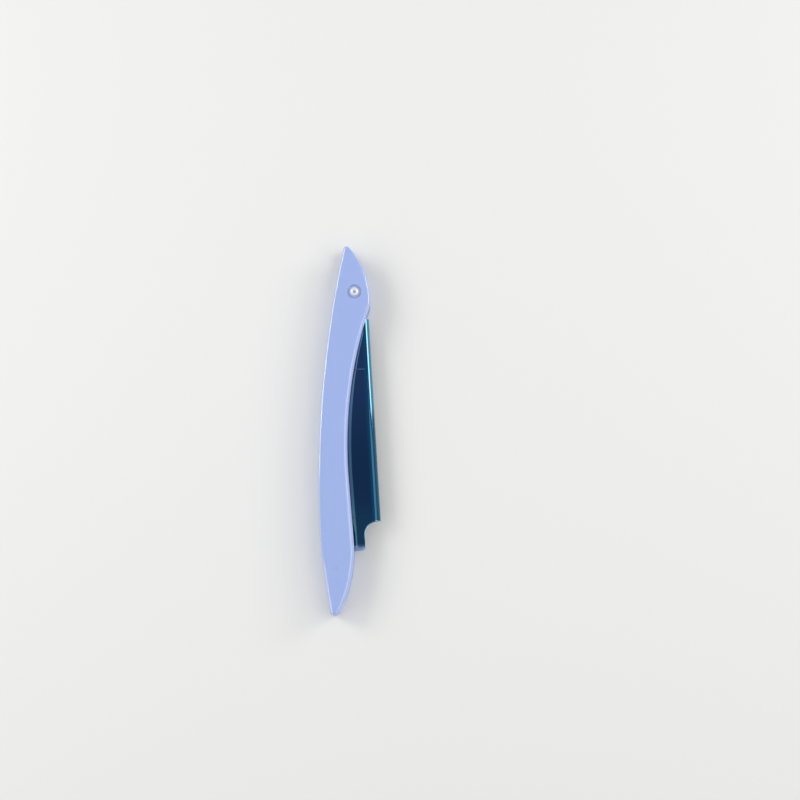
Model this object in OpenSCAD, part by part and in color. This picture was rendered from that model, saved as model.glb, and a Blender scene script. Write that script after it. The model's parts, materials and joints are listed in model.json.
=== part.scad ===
// Folding eyebrow razor, closed: a crescent handle of two moulded shells, a folded sheet steel
// carrier that swings out of it on a tubular rivet, and a single-edge blade slid in from the toe.
// It lies on its rear shell: +Y runs to the pivot end, +X to the open side, +Z out of the front.
// Handle sizes are measured from the pivot. The carrier has its own directions: along it from
// the pivot to the toe, and across it, towards the spine where positive.

/* [Handle] */
// Thickness over both shells
handle_t = 11; // [10:0.5:14]
// Gap between the shells that the carrier folds into
slot_w = 5.1; // [5:0.1:5.3]
// Width of the back wall that joins the shells
wall_w = 2.2; // [1.8:0.1:3]
// Radius rolled along the outer edges
edge_r = 1; // [0.6:0.1:1.1]
// Radius of the same edges along the open side and on the tapered tail
open_edge_r = 1.5; // [1:0.1:1.7]

/* [Handle outline] */
// Radius of the long convex back
back_r = 393; // [350:1:430]
// How far the back stands behind the pivot where it is fullest
back_reach = 13.05; // [12.8:0.05:13.6]
// How far below the pivot the back is fullest
back_drop = 66.5; // [64:0.1:70]
// Radius of the rounded head, on the open side
head_r = 32; // [30:0.5:36]
// How far the head reaches past the pivot on the open side
head_reach = 5.75; // [5.4:0.05:6.2]
// How far below the pivot the head is fullest
head_drop = 4; // [3:0.1:5]
// Radius that turns the head back in below its fullest point
heel_r = 6; // [4:0.5:8]
// Radius of the throat between head and hollow
throat_r = 22; // [18:1:26]
// Radius of the long hollow of the open side
hollow_r = 165; // [160:1:175]
// How far behind the pivot the hollow is deepest
hollow_reach = 2.35; // [2.1:0.05:2.6]
// How far below the pivot the hollow is deepest
hollow_drop = 56; // [55:0.5:57]
// Radius of the open side of the tail
tail_r = 50.5; // [46:0.5:55]
// How far the tail reaches past the pivot on the open side
tail_reach = 0.25; // [0:0.05:0.6]
// How far below the pivot the tail is fullest
tail_drop = 96.2; // [94:0.1:98]
// Where the back turns into the tail's taper, below the pivot
taper_drop = 97.7; // [95:0.1:100]
// Angle by which the back turns in there
taper_turn = 3.6; // [3:0.1:5]
// Radius of the back of the taper
taper_r = 600; // [500:10:700]
// Radius of the head's tip
tip_r = 1.2; // [1.15:0.05:1.6]
// Radius of the tail's nose
nose_r = 1.9; // [1.8:0.1:2.6]

/* [Pivot] */
// Diameter of the rivet's shank
rivet_d = 2; // [1.8:0.1:2.4]
// Diameter of the hole in the rivet's open end
rivet_hole_d = 1; // [0.8:0.1:1.1]
// Diameter over the rolled end
rivet_lip_d = 3; // [2.8:0.1:3.4]
// Height of the rolled end
rivet_lip_h = 0.6; // [0.5:0.05:0.7]
// Diameter of the rivet's closed head
rivet_head_d = 3.4; // [3:0.1:3.6]
// Height of the closed head
rivet_head_h = 0.45; // [0.35:0.05:0.5]
// Diameter of the steel washers under the rivet's ends
collar_d = 4; // [3.8:0.1:4.6]
// Thickness of the steel washers
collar_t = 0.35; // [0.3:0.05:0.4]
// Diameter of the recess round each end of the rivet
recess_d = 5.4; // [5:0.1:6]
// Depth of the recess in the front shell
front_recess = 0.55; // [0.4:0.05:0.7]
// Depth of the recess in the rear shell
rear_recess = 0.9; // [0.85:0.05:1.1]
// Diameter of the bosses, friction washers and tang eye
eye_d = 7.2; // [6.6:0.1:7.6]
// Height of the moulded boss round the rivet inside each shell
boss_h = 0.65; // [0.55:0.05:0.75]
// Thickness of the nylon friction washers
friction_t = 0.4; // [0.3:0.05:0.5]

/* [Carrier] */
// Angle that the folded carrier leans from the handle's length
carrier_lean = 3.5; // [3.2:0.1:3.8]
// Thickness of the steel sheet
sheet_t = 0.5; // [0.4:0.05:0.6]
// Radius over the rolled spine
spine_r = 2.2; // [2.1:0.05:2.25]
// Distance from the pivot across to the spine's outer face
spine_reach = 4.7; // [4.6:0.05:5]
// Distance from the pivot across to the sheet's two edges
mouth_reach = 7.35; // [7.2:0.05:7.8]
// Where the spine starts, along from the pivot
spine_start = 10; // [10:0.1:11]
// How far before the blade the cut across the heel meets the sheet's edges
heel_lead = 7.8; // [6:0.2:9]
// How far across the heel's cut starts
heel_reach = 4; // [3.5:0.1:5]
// Where the toe ends, along from the pivot
toe_end = 95.8; // [94.5:0.1:97]
// Radius of the toe's corner at the edges
toe_r = 0.8; // [0.4:0.1:1.2]
// Radius of the finger notch between spine and toe
notch_r = 4.9; // [4.5:0.1:5.2]
// Where the notch is centred, along from the pivot
notch_drop = 90.2; // [89.5:0.1:91]
// Width of the toe beside the notch
toe_w = 5.8; // [5.7:0.1:6.2]
// Space between the blade and the end of the tang inside the spine
tang_gap = 4.6; // [3:0.1:6]
// Width of the stop strip behind the blade
stop_w = 2; // [1.5:0.1:2.4]
// Diameter of the spot weld that holds the stop strip
weld_d = 1.2; // [0.8:0.1:1.6]
// Where the spot weld is, along from the pivot
weld_drop = 64.6; // [60:0.1:70]

/* [Blade] */
// Length of the blade
blade_l = 62; // [56:1:68]
// Width of the blade
blade_w = 7; // [6.6:0.1:7.1]
// Thickness of the blade
blade_t = 0.25; // [0.2:0.01:0.3]
// How far the cutting edge stands out of the sheet's edges
edge_reach = 1.4; // [1.2:0.1:1.8]
// Width of the ground bevels
bevel_w = 0.9; // [0.6:0.1:1.3]
// How far the blade's end lies inside the toe
toe_inset = 0.5; // [0.3:0.1:1]

/* [Hidden] */
$fn = 48;
// Segments that keep the longest arcs true
long_arc_fn = 1440;
// Overrun of every cut
over = 1;
// Clearances: a shaft in its hole, a turning face, the carrier over its stop, the blade between
// the sheet's edges and before its stop strip, and pieces seated in each other
shaft_fit = 0.05;
turn_fit = 0.05;
stop_gap = 0.3;
slide_fit = 0.02;
strip_gap = 0.1;
seat_fit = 0.02;
// Moulding details of the shells
seam_bevel = 0.12;
tongue_w = 0.8;
tongue_h = 0.6;
tongue_fit = 0.05;
tongue_low_share = 0.92;
wall_top = 2.4;
stop_rib_w = 3.5;
blade_room = 0.7;
toe_room = 3;
floor_r = 2;
peg_d = 2.4;
peg_l = 2;
peg_at = [-6.25, -102.4];
taper_blend = 4;
open_blend = 20;
// How far the sheet's flats are set into the round of the spine, which they cross
flat_set = 0.002;
// Depth of the marks pressed into the sheet, and width of the crease over the tang's end
mark_depth = 0.1;
crease_w = 0.3;
// Thickness left at the cutting edge
edge_t = 0.02;
// Segments of each arc in the shells' outline, and of the rolled edge
// (the two sides have about as many each, so the faces between them stay well shaped)
back_steps = 41;
taper_steps = 6;
nose_steps = 8;
tail_steps = 14;
run_steps = 5;
hollow_steps = 16;
throat_steps = 5;
heel_steps = 4;
head_steps = 10;
tip_steps = 6;
edge_steps = 4;

half_t = handle_t / 2;
half_slot = slot_w / 2;

// Geometry helpers
function polar(r, a) = [r * cos(a), r * sin(a)];
function bearing(from, to) = atan2(to.y - from.y, to.x - from.x);
function whole_turn(a) = a < 0 ? a + 360 : a;
// Where two circles cross, on the left (side 1) or right (side -1) of the line from c1 to c2
function crossing(c1, r1, c2, r2, side) =
    let (l = norm(c2 - c1), e = (c2 - c1) / l, a = (r1 * r1 - r2 * r2 + l * l) / (2 * l))
    c1 + a * e + side * sqrt(r1 * r1 - a * a) * [-e.y, e.x];
// Points along an arc with their outward directions; facing is 1 where the arc bulges out
function arc_run(c, r, a0, a1, steps, facing = 1) =
    [for (i = [0:steps]) let (a = a0 + (a1 - a0) * i / steps)
        [c + polar(r, a), polar(facing, a)]];

// Circles of the handle's outline, all from the pivot
back_c = [back_r - back_reach, -back_drop];
head_c = [head_reach - head_r, -head_drop];
heel_c = [head_reach - heel_r, -head_drop];
hollow_c = [hollow_r - hollow_reach, -hollow_drop];
throat_c = crossing(heel_c, heel_r + throat_r, hollow_c, hollow_r - throat_r, -1);
tail_c = [tail_reach - tail_r, -tail_drop];
taper_a = 180 + asin((taper_drop - back_drop) / back_r);
taper_c = back_c + polar(back_r, taper_a) - polar(taper_r, taper_a + taper_turn);
tip_c = crossing(head_c, head_r - tip_r, back_c, back_r - tip_r, 1);
nose_c = crossing(tail_c, tail_r - nose_r, taper_c, taper_r - nose_r, -1);
// Direction of the straight run between hollow and tail, which touches both circles
run_a = bearing(tail_c, hollow_c) - acos((tail_r + hollow_r) / norm(hollow_c - tail_c));

run_from = tail_c + polar(tail_r, run_a);
run_to = hollow_c - polar(hollow_r, run_a);

outline = concat(
    arc_run(tail_c, tail_r, bearing(tail_c, nose_c), run_a, tail_steps),
    [for (i = [1:run_steps - 1])
        [run_from + (run_to - run_from) * i / run_steps, polar(1, run_a)]],
    arc_run(hollow_c, hollow_r, 180 + run_a, whole_turn(bearing(hollow_c, throat_c)),
        hollow_steps, -1),
    [for (i = [1:throat_steps])
        arc_run(throat_c, throat_r, whole_turn(bearing(hollow_c, throat_c)),
            bearing(throat_c, heel_c), throat_steps, -1)[i]],
    [for (i = [1:heel_steps])
        arc_run(heel_c, heel_r, bearing(heel_c, throat_c), 0, heel_steps)[i]],
    [for (i = [1:head_steps])
        arc_run(head_c, head_r, 0, bearing(head_c, tip_c), head_steps)[i]],
    [for (i = [1:tip_steps])
        arc_run(tip_c, tip_r, bearing(head_c, tip_c), bearing(back_c, tip_c), tip_steps)[i]],
    [for (i = [1:back_steps - 1])
        arc_run(back_c, back_r, bearing(back_c, tip_c), taper_a, back_steps)[i]],
    [[back_c + polar(back_r, taper_a), polar(1, taper_a + taper_turn / 2)]],
    [for (i = [1:taper_steps])
        arc_run(taper_c, taper_r, taper_a + taper_turn, whole_turn(bearing(taper_c, nose_c)),
            taper_steps)[i]],
    [for (i = [1:nose_steps - 1])
        arc_run(nose_c, nose_r, whole_turn(bearing(taper_c, nose_c)),
            360 + bearing(tail_c, nose_c), nose_steps)[i]]
);

// Carrier section: half gap at the edges, lean of each leaf, and centre of the spine
half_gap = blade_t / 2 + slide_fit;
spine_c = spine_reach - spine_r;
section_w = spine_c + mouth_reach;
bore_r = spine_r - sheet_t;
leaf_a = asin((bore_r - flat_set) / norm([half_gap, section_w])) - atan(half_gap / section_w);

// Places across and along the carrier
stop_reach = mouth_reach + edge_reach - blade_w - strip_gap;
blade_end = toe_end - toe_inset;
blade_start = blade_end - blade_l;
tang_end = blade_start - tang_gap;
heel_end = blade_start - heel_lead;
notch_across = toe_w - mouth_reach + notch_r;
spine_end = notch_drop - sqrt(notch_r * notch_r - pow(spine_reach - notch_across, 2));

// Thickness of the tang, between the friction washers
tang_t = slot_w - 2 * (boss_h + friction_t + turn_fit);

// The origin lies under the middle of the closed razor, on the face that it rests on
right_edge = spine_reach * cos(carrier_lean) + spine_end * sin(carrier_lean);
top_edge = tip_c.y + tip_r;
bottom_edge = nose_c.y - nose_r;
pivot_at = [(back_reach - right_edge) / 2, -(top_edge + bottom_edge) / 2, half_t];

module at_pivot() {
    translate(pivot_at) children();
}

module on_carrier() {
    at_pivot() rotate([0, 0, carrier_lean]) children();
}

// Extrudes a section along the carrier, from one distance from the pivot to another
module along(from, to) {
    translate([0, -from, 0]) rotate([90, 0, 0]) linear_extrude(to - from) children();
}

// One shell before anything is cut from it, with its parting face on z = 0
module shell_blank() {
    // Grows from the head down the open side, and into the taper on both sides
    function growth(o) = max((-o[0].y - taper_drop) / taper_blend,
        o[1].x > 0 ? (-o[0].y - head_drop) / open_blend : 0);
    function roll(o) = edge_r + (open_edge_r - edge_r) * max(0, min(1, growth(o)));
    function at(o, inset, z) = let (q = o[0] - inset * o[1]) [q.x, q.y, z];
    count = len(outline);
    rings = [
        [for (o = outline) at(o, seam_bevel, 0)],
        [for (o = outline) at(o, 0, seam_bevel)],
        for (k = [0:edge_steps]) let (a = 90 * k / edge_steps)
            [for (o = outline) let (r = roll(o)) at(o, r * (1 - cos(a)), half_t - r * (1 - sin(a)))]
    ];
    points = [for (ring = rings) each ring];
    sides = [for (k = [0:len(rings) - 2], i = [0:count - 1])
        let (a = k * count + i, b = k * count + (i + 1) % count)
        each [[a, a + count, b], [b, a + count, b + count]]];
    // Flat faces, as pairs of triangles from the open side across to the back
    flat = [for (i = [0:floor(count / 2) - 1]) let (j = count - 1 - i)
        each i + 1 < j - 1 ? [[i, i + 1, j], [i + 1, j - 1, j]] : i + 1 < j ? [[i, i + 1, j]] : []];
    last = (len(rings) - 1) * count;
    lid = [for (f = flat) [f[0] + last, f[2] + last, f[1] + last]];
    polyhedron(points, concat(sides, flat, lid), convexity = 6);
}

// Everything that is hollow between the shells, seen from the front
module channel_shape() {
    reach = back_reach + spine_reach + over;
    low = -bottom_edge + over;
    difference() {
        union() {
            intersection() {
                translate(back_c) circle(back_r - wall_w, $fn = long_arc_fn);
                translate([-reach, -low]) square([2 * reach, low + wall_top]);
            }
            translate([-reach, wall_top]) square([2 * reach, top_edge + over - wall_top]);
        }
        rotate(carrier_lean) {
            // Solid tail, which leaves the blade its way out
            difference() {
                translate([-2 * reach, -low - reach])
                    square([2 * reach - mouth_reach - edge_reach - blade_room,
                        low + reach - toe_end - toe_room]);
                translate([-mouth_reach - edge_reach - blade_room, -toe_end - toe_room])
                    rotate(180) difference() {
                        square(floor_r);
                        translate([floor_r, floor_r]) circle(floor_r);
                    }
            }
            // Rib that the heel of the folded carrier rests on
            translate([-2 * reach, -heel_end - 1.5 * stop_rib_w])
                square([2 * reach - mouth_reach - stop_gap, stop_rib_w]);
        }
    }
}

// Strip along the middle of the back wall: the tongue, or with a clearance its groove
module tongue_shape(fit = 0) {
    mid_r = back_r - wall_w / 2;
    half_w = tongue_w / 2 + fit;
    low = tail_drop * tongue_low_share + fit;
    high = wall_top - 2 * tongue_w + fit;
    intersection() {
        translate(back_c) difference() {
            circle(mid_r + half_w, $fn = long_arc_fn);
            circle(mid_r - half_w, $fn = long_arc_fn);
        }
        translate([-back_reach - over, -low]) square([back_reach, low + high]);
    }
}

// A shell with its channel, boss and rivet hole; the recess is cut from its outer face
module scale_shell(recess) {
    difference() {
        union() {
            difference() {
                shell_blank();
                translate([0, 0, -over]) linear_extrude(half_slot + over) channel_shape();
            }
            translate([0, 0, half_slot - boss_h]) cylinder(boss_h + over, d = eye_d);
        }
        translate([0, 0, -over]) cylinder(handle_t, d = rivet_d + 2 * shaft_fit);
        translate([0, 0, half_t - recess]) cylinder(recess + over, d = recess_d);
    }
}

module front_scale() {
    color("#a3b8ea") at_pivot() difference() {
        scale_shell(front_recess);
        translate([0, 0, -over])
            linear_extrude(tongue_h + tongue_fit + over) tongue_shape(tongue_fit);
        translate([peg_at.x, peg_at.y, -over])
            cylinder(peg_l + seat_fit + over, d = peg_d + 2 * seat_fit);
    }
}

module rear_scale() {
    color("#a3b8ea") at_pivot() {
        mirror([0, 0, 1]) scale_shell(rear_recess);
        translate([0, 0, -over]) linear_extrude(tongue_h + over) tongue_shape();
        translate([peg_at.x, peg_at.y, -over]) cylinder(peg_l + over, d = peg_d);
    }
}

// Tubular rivet: closed head at the rear, end rolled over at the front
module pivot_rivet() {
    foot = rear_recess - collar_t - half_t;
    top = half_t - front_recess + collar_t;
    roll_r = rivet_lip_h / 2;
    hole_r = rivet_hole_d / 2;
    color("#c9ccd2") at_pivot() difference() {
        union() {
            translate([0, 0, foot]) cylinder(top + roll_r - foot, d = rivet_d);
            translate([0, 0, foot - rivet_head_h]) cylinder(rivet_head_h, d = rivet_head_d);
            translate([0, 0, top]) rotate_extrude() {
                translate([hole_r + roll_r / 2, roll_r]) circle(roll_r);
                translate([rivet_lip_d / 2 - roll_r, roll_r]) circle(roll_r);
                translate([hole_r + roll_r / 2, 0])
                    square([rivet_lip_d / 2 - hole_r - 1.5 * roll_r, rivet_lip_h]);
            }
        }
        translate([0, 0, half_slot]) cylinder(half_t, d = rivet_hole_d);
    }
}

// Flat ring round the rivet, its lower face at a height from the middle of the handle
module ring(z, h, d) {
    at_pivot() translate([0, 0, z]) difference() {
        cylinder(h, d = d);
        translate([0, 0, -over]) cylinder(h + 2 * over, d = rivet_d + 2 * shaft_fit);
    }
}

module front_collar() {
    color("#b4b8bf") ring(half_t - front_recess, collar_t, collar_d);
}

module rear_collar() {
    color("#b4b8bf") ring(rear_recess - half_t - collar_t, collar_t, collar_d);
}

module front_friction_washer() {
    color("#f2f3f5") ring(half_slot - boss_h - friction_t, friction_t, eye_d);
}

module rear_friction_washer() {
    color("#f2f3f5") ring(boss_h - half_slot, friction_t, eye_d);
}

// Outline of a folded sheet's section: its round spine and the two flats that run into it
module fold_shape(r) {
    flat_r = r - flat_set;
    union() {
        translate([spine_c, 0]) circle(r);
        polygon([
            [-mouth_reach, -(flat_r - section_w * sin(leaf_a)) / cos(leaf_a)],
            [spine_c - flat_r * sin(leaf_a), -flat_r * cos(leaf_a)],
            [spine_c - flat_r * sin(leaf_a), flat_r * cos(leaf_a)],
            [-mouth_reach, (flat_r - section_w * sin(leaf_a)) / cos(leaf_a)]
        ]);
    }
}

// Steel bar: eye on the rivet, neck, and a root that fills the spine
module tang() {
    color("#8d939c") on_carrier() difference() {
        union() {
            translate([0, 0, -tang_t / 2]) {
                cylinder(tang_t, d = eye_d);
                translate([-eye_d / 2, -spine_start, 0]) cube([eye_d, spine_start, tang_t]);
            }
            intersection() {
                along(spine_start, tang_end) fold_shape(bore_r - seat_fit);
                translate([-eye_d / 2, -tang_end, -tang_t / 2])
                    cube([eye_d / 2 + spine_reach, tang_end - spine_start, tang_t]);
            }
        }
        translate([0, 0, -handle_t]) cylinder(2 * handle_t, d = rivet_d + 2 * shaft_fit);
    }
}

// Carrier seen from the front, toe down
module carrier_side() {
    difference() {
        translate([-mouth_reach - over, -toe_end])
            square([mouth_reach + spine_reach + 2 * over, toe_end - spine_start]);
        translate([notch_across, -notch_drop]) circle(notch_r, $fn = 96);
        translate([toe_w - mouth_reach, -toe_end - over])
            square([2 * notch_r + spine_reach, toe_end - notch_drop + over]);
        // Heel, cut back from the spine to the sheet's edges
        polygon([
            [-mouth_reach - 2 * over, over - spine_start],
            [-heel_reach, over - spine_start],
            [-heel_reach, -spine_start],
            [-mouth_reach, -heel_end],
            [-mouth_reach - 2 * over, -heel_end]
        ]);
        translate([-mouth_reach + toe_r, -toe_end + toe_r]) rotate(180) difference() {
            square(2 * toe_r + over);
            circle(toe_r);
            translate([toe_r, -over]) square(2 * toe_r + 2 * over);
            translate([-over, toe_r]) square(2 * toe_r + 2 * over);
        }
    }
}

// Puts a cutter on the outer face of a leaf, at a place across and along the carrier
module on_leaf(across, drop) {
    height = (spine_r - flat_set - (spine_c - across) * sin(leaf_a)) / cos(leaf_a);
    translate([across, -drop, height]) rotate([0, -leaf_a, 0])
        translate([0, 0, -mark_depth]) children();
}

// Marks pressed into one leaf: a crease over the tang's end and the spot weld
module leaf_marks() {
    crease_l = section_w * cos(leaf_a);
    on_leaf(-mouth_reach, tang_end)
        translate([-over, -crease_w / 2, 0]) cube([crease_l, crease_w, over]);
    on_leaf(stop_w / 2 - stop_reach, weld_drop) cylinder(over, d = weld_d);
}

// Sheet folded round the spine, with its edges left open for the blade
module carrier_shell() {
    color("#1b3f75") on_carrier() difference() {
        intersection() {
            along(spine_start, toe_end) fold_shape(spine_r);
            translate([0, 0, -handle_t]) linear_extrude(2 * handle_t) carrier_side();
        }
        along(spine_start - over, toe_end + over) fold_shape(bore_r);
        leaf_marks();
        mirror([0, 0, 1]) leaf_marks();
    }
}

// Strip welded between the leaves, behind the blade
module blade_stop() {
    color("#9aa0a8") on_carrier() intersection() {
        along(tang_end + stop_w, spine_end - stop_w) fold_shape(bore_r - seat_fit);
        translate([-stop_reach, -toe_end, -handle_t]) cube([stop_w, toe_end, 2 * handle_t]);
    }
}

// Single-edge blade, its ground edge out of the sheet's edges
module blade() {
    edge = -mouth_reach - edge_reach;
    color("#c5cbd3") on_carrier() along(blade_start, blade_end) polygon([
        [edge, -edge_t / 2],
        [edge + bevel_w, -blade_t / 2],
        [edge + blade_w, -blade_t / 2],
        [edge + blade_w, blade_t / 2],
        [edge + bevel_w, blade_t / 2],
        [edge, edge_t / 2]
    ]);
}

front_scale();
rear_scale();
pivot_rivet();
front_collar();
rear_collar();
front_friction_washer();
rear_friction_washer();
tang();
carrier_shell();
blade_stop();
blade();
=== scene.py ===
import json
import math

import bmesh
import bpy
from mathutils import Matrix, Vector

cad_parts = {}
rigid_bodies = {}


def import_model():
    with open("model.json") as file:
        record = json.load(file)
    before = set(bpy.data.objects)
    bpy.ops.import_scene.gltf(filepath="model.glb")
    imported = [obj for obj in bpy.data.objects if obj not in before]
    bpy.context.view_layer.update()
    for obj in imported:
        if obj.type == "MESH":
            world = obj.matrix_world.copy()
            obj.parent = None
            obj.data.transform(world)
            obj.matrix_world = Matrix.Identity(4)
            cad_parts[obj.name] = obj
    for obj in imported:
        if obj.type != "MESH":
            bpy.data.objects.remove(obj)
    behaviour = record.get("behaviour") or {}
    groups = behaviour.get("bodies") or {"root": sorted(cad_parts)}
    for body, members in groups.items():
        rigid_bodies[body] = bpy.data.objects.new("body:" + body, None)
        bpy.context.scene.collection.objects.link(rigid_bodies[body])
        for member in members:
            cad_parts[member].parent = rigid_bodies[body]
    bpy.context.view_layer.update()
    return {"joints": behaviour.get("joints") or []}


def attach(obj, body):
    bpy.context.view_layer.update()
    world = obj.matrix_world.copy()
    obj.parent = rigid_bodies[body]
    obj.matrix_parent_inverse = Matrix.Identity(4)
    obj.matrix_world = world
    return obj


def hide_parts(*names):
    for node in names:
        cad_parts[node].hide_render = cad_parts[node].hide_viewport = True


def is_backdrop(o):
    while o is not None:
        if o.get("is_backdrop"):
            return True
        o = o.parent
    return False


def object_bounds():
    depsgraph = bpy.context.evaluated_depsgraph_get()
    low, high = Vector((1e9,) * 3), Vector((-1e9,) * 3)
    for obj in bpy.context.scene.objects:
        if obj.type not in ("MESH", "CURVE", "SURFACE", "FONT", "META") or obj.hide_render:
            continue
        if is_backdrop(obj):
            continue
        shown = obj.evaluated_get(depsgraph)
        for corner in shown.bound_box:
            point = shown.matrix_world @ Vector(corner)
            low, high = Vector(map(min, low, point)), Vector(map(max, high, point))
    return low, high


for leftover in list(bpy.data.objects):  # the startup file's own cube, lamp and camera
    bpy.data.objects.remove(leftover)
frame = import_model()
print("frame loaded")

mm = 0.001
joints = {joint["name"]: joint for joint in frame["joints"]}
pivot = Vector(joints["carrier_fold"]["pos_m"])
slideAxis = Vector(joints["blade_slide"]["axis"])

# Pieces are drawn in millimetres from the pivot: the handle's straight, the carrier's along its own lean
handleSpace = Matrix.Translation(pivot) @ Matrix.Scale(mm, 4)
carrierLean = math.atan2(slideAxis.x, -slideAxis.y)
carrierSpace = Matrix.Translation(pivot) @ Matrix.Rotation(carrierLean, 4, "Z") @ Matrix.Scale(mm, 4)
yAxis, zAxis = Vector((0, 1, 0)), Vector((0, 0, 1))
notchCentre = (3.35, -90.2, 0)  # middle of the carrier's finger notch


# Materials

# sRGB hex to the linear colour that a node takes
def toLinear(hexColour):
    channels = [int(hexColour[i:i + 2], 16) / 255 for i in (1, 3, 5)]
    return [c / 12.92 if c <= 0.04045 else ((c + 0.055) / 1.055) ** 2.4 for c in channels] + [1]


# Adds a node with its settings, the values of its inputs and the links into them
def addNode(owner, kind, settings={}, values={}, links={}):
    node = owner.node_tree.nodes.new(kind)
    for name, value in settings.items():
        setattr(node, name, value)
    for name, value in values.items():
        node.inputs[name].default_value = value
    for name, source in links.items():
        owner.node_tree.links.new(source, node.inputs[name])
    return node


def newMaterial(name):
    material = bpy.data.materials.new(name)
    material.use_nodes = True
    material.node_tree.nodes.clear()
    return material


# Ends a material with its Principled shader
def finishMaterial(material, values, links):
    shader = addNode(material, "ShaderNodeBsdfPrincipled", {}, values, links)
    addNode(material, "ShaderNodeOutputMaterial", {}, {}, {"Surface": shader.outputs["BSDF"]})
    return material


# Object coordinates from the pivot, turned by an angle and divided by a pattern's size in millimetres
def placedCoordinates(material, angle=0.0, size=(1, 1, 1)):
    coordinates = addNode(material, "ShaderNodeTexCoord")
    centred = addNode(material, "ShaderNodeVectorMath", {"operation": "SUBTRACT"},
                      {1: pivot}, {0: coordinates.outputs["Object"]})
    turned = addNode(material, "ShaderNodeMapping", {"vector_type": "POINT"},
                     {"Rotation": (0, 0, -angle)}, {"Vector": centred.outputs["Vector"]})
    return addNode(material, "ShaderNodeVectorMath", {"operation": "MULTIPLY"},
                   {1: [1 / s / mm for s in size]}, {0: turned.outputs["Vector"]}).outputs["Vector"]


# Soft patches of noise, and a roughness that drifts with them between a look's two values
def patchyRoughness(material, look, vector, detail, span):
    patches = addNode(material, "ShaderNodeTexNoise", {}, {"Scale": 1 / look["patchSize"], "Detail": detail},
                      {"Vector": vector})
    drift = addNode(material, "ShaderNodeMapRange", {},
                    {"From Min": span[0], "From Max": span[1],
                     "To Min": look["roughness"][0], "To Max": look["roughness"][1]},
                    {"Value": patches.outputs["Fac"]})
    return patches.outputs["Fac"], drift.outputs["Result"]


# Colour and roughness that drift together in soft patches, as links for the shader
def patchyFinish(material, look, vector, detail):
    patches, roughness = patchyRoughness(material, look, vector, detail, (0.3, 0.7))
    colour = addNode(material, "ShaderNodeMix", {"data_type": "RGBA"},
                     {6: toLinear(look["colour"]), 7: toLinear(look["dull"])}, {0: patches})
    return {"Base Color": colour.outputs[2], "Roughness": roughness}


# Relief that noise raises on the surface, its height in millimetres
def relief(material, vector, pattern, height, links={}):
    noise = addNode(material, "ShaderNodeTexNoise", {}, pattern, {"Vector": vector})
    return addNode(material, "ShaderNodeBump", {}, {"Strength": 1, "Distance": height * mm},
                   {"Height": noise.outputs["Fac"], **links}).outputs["Normal"]


# Moulded ABS: an even periwinkle with faint flow streaks along the handle, flats of a fine satin grain, and
# a glossy skin on the polished rolled edges, which draws crisp lines of light along them
def mouldedAbs():
    plastic = {
        "colour": "#9fb4e5", "streakColour": "#a3b5e6",
        "streakWidth": 3.0, "streakLength": 40.0,  # mm
        "roughness": (0.3, 0.36), "patchSize": 6.0,
        "grainSize": 0.35, "grainHeight": 0.0012,  # drawn coarser than the mould's real 0.05 mm
        "waveSize": 18.0, "waveHeight": 0.008,
        "flatGloss": 0.15, "flatFrom": 5.47, "flatTo": 5.495,  # where the flats begin, mm from the middle
    }
    material = newMaterial("mouldedAbs")
    flow = placedCoordinates(material, size=(plastic["streakWidth"], plastic["streakLength"], 1))
    flat = placedCoordinates(material)
    streaks = addNode(material, "ShaderNodeTexNoise", {}, {"Scale": 1, "Detail": 3, "Roughness": 0.5},
                      {"Vector": flow})
    colour = addNode(material, "ShaderNodeMix", {"data_type": "RGBA"},
                     {6: toLinear(plastic["colour"]), 7: toLinear(plastic["streakColour"])},
                     {0: streaks.outputs["Fac"]})
    roughness = patchyRoughness(material, plastic, flat, 4, (0.35, 0.65))[1]
    place = addNode(material, "ShaderNodeSeparateXYZ", {}, {}, {"Vector": flat})
    height = addNode(material, "ShaderNodeMath", {"operation": "ABSOLUTE"}, {}, {0: place.outputs["Z"]})
    gloss = addNode(material, "ShaderNodeMapRange", {},
                    {"From Min": plastic["flatFrom"], "From Max": plastic["flatTo"],
                     "To Min": 1, "To Max": plastic["flatGloss"]}, {"Value": height.outputs["Value"]})
    wavy = relief(material, flat, {"Scale": 1 / plastic["waveSize"], "Detail": 0}, plastic["waveHeight"])
    grainy = relief(material, flat, {"Scale": 1 / plastic["grainSize"], "Detail": 2}, plastic["grainHeight"],
                    {"Normal": wavy})
    return finishMaterial(material,
                          {"IOR": 1.53, "Subsurface Weight": 0.3, "Subsurface Scale": 1.5 * mm,
                           "Subsurface Radius": (0.8, 0.9, 1.0),
                           "Coat Roughness": 0.1, "Coat IOR": 1.95},
                          {"Base Color": colour.outputs[2], "Roughness": roughness,
                           "Coat Weight": gloss.outputs["Result"], "Normal": grainy, "Coat Normal": wavy})


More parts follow.
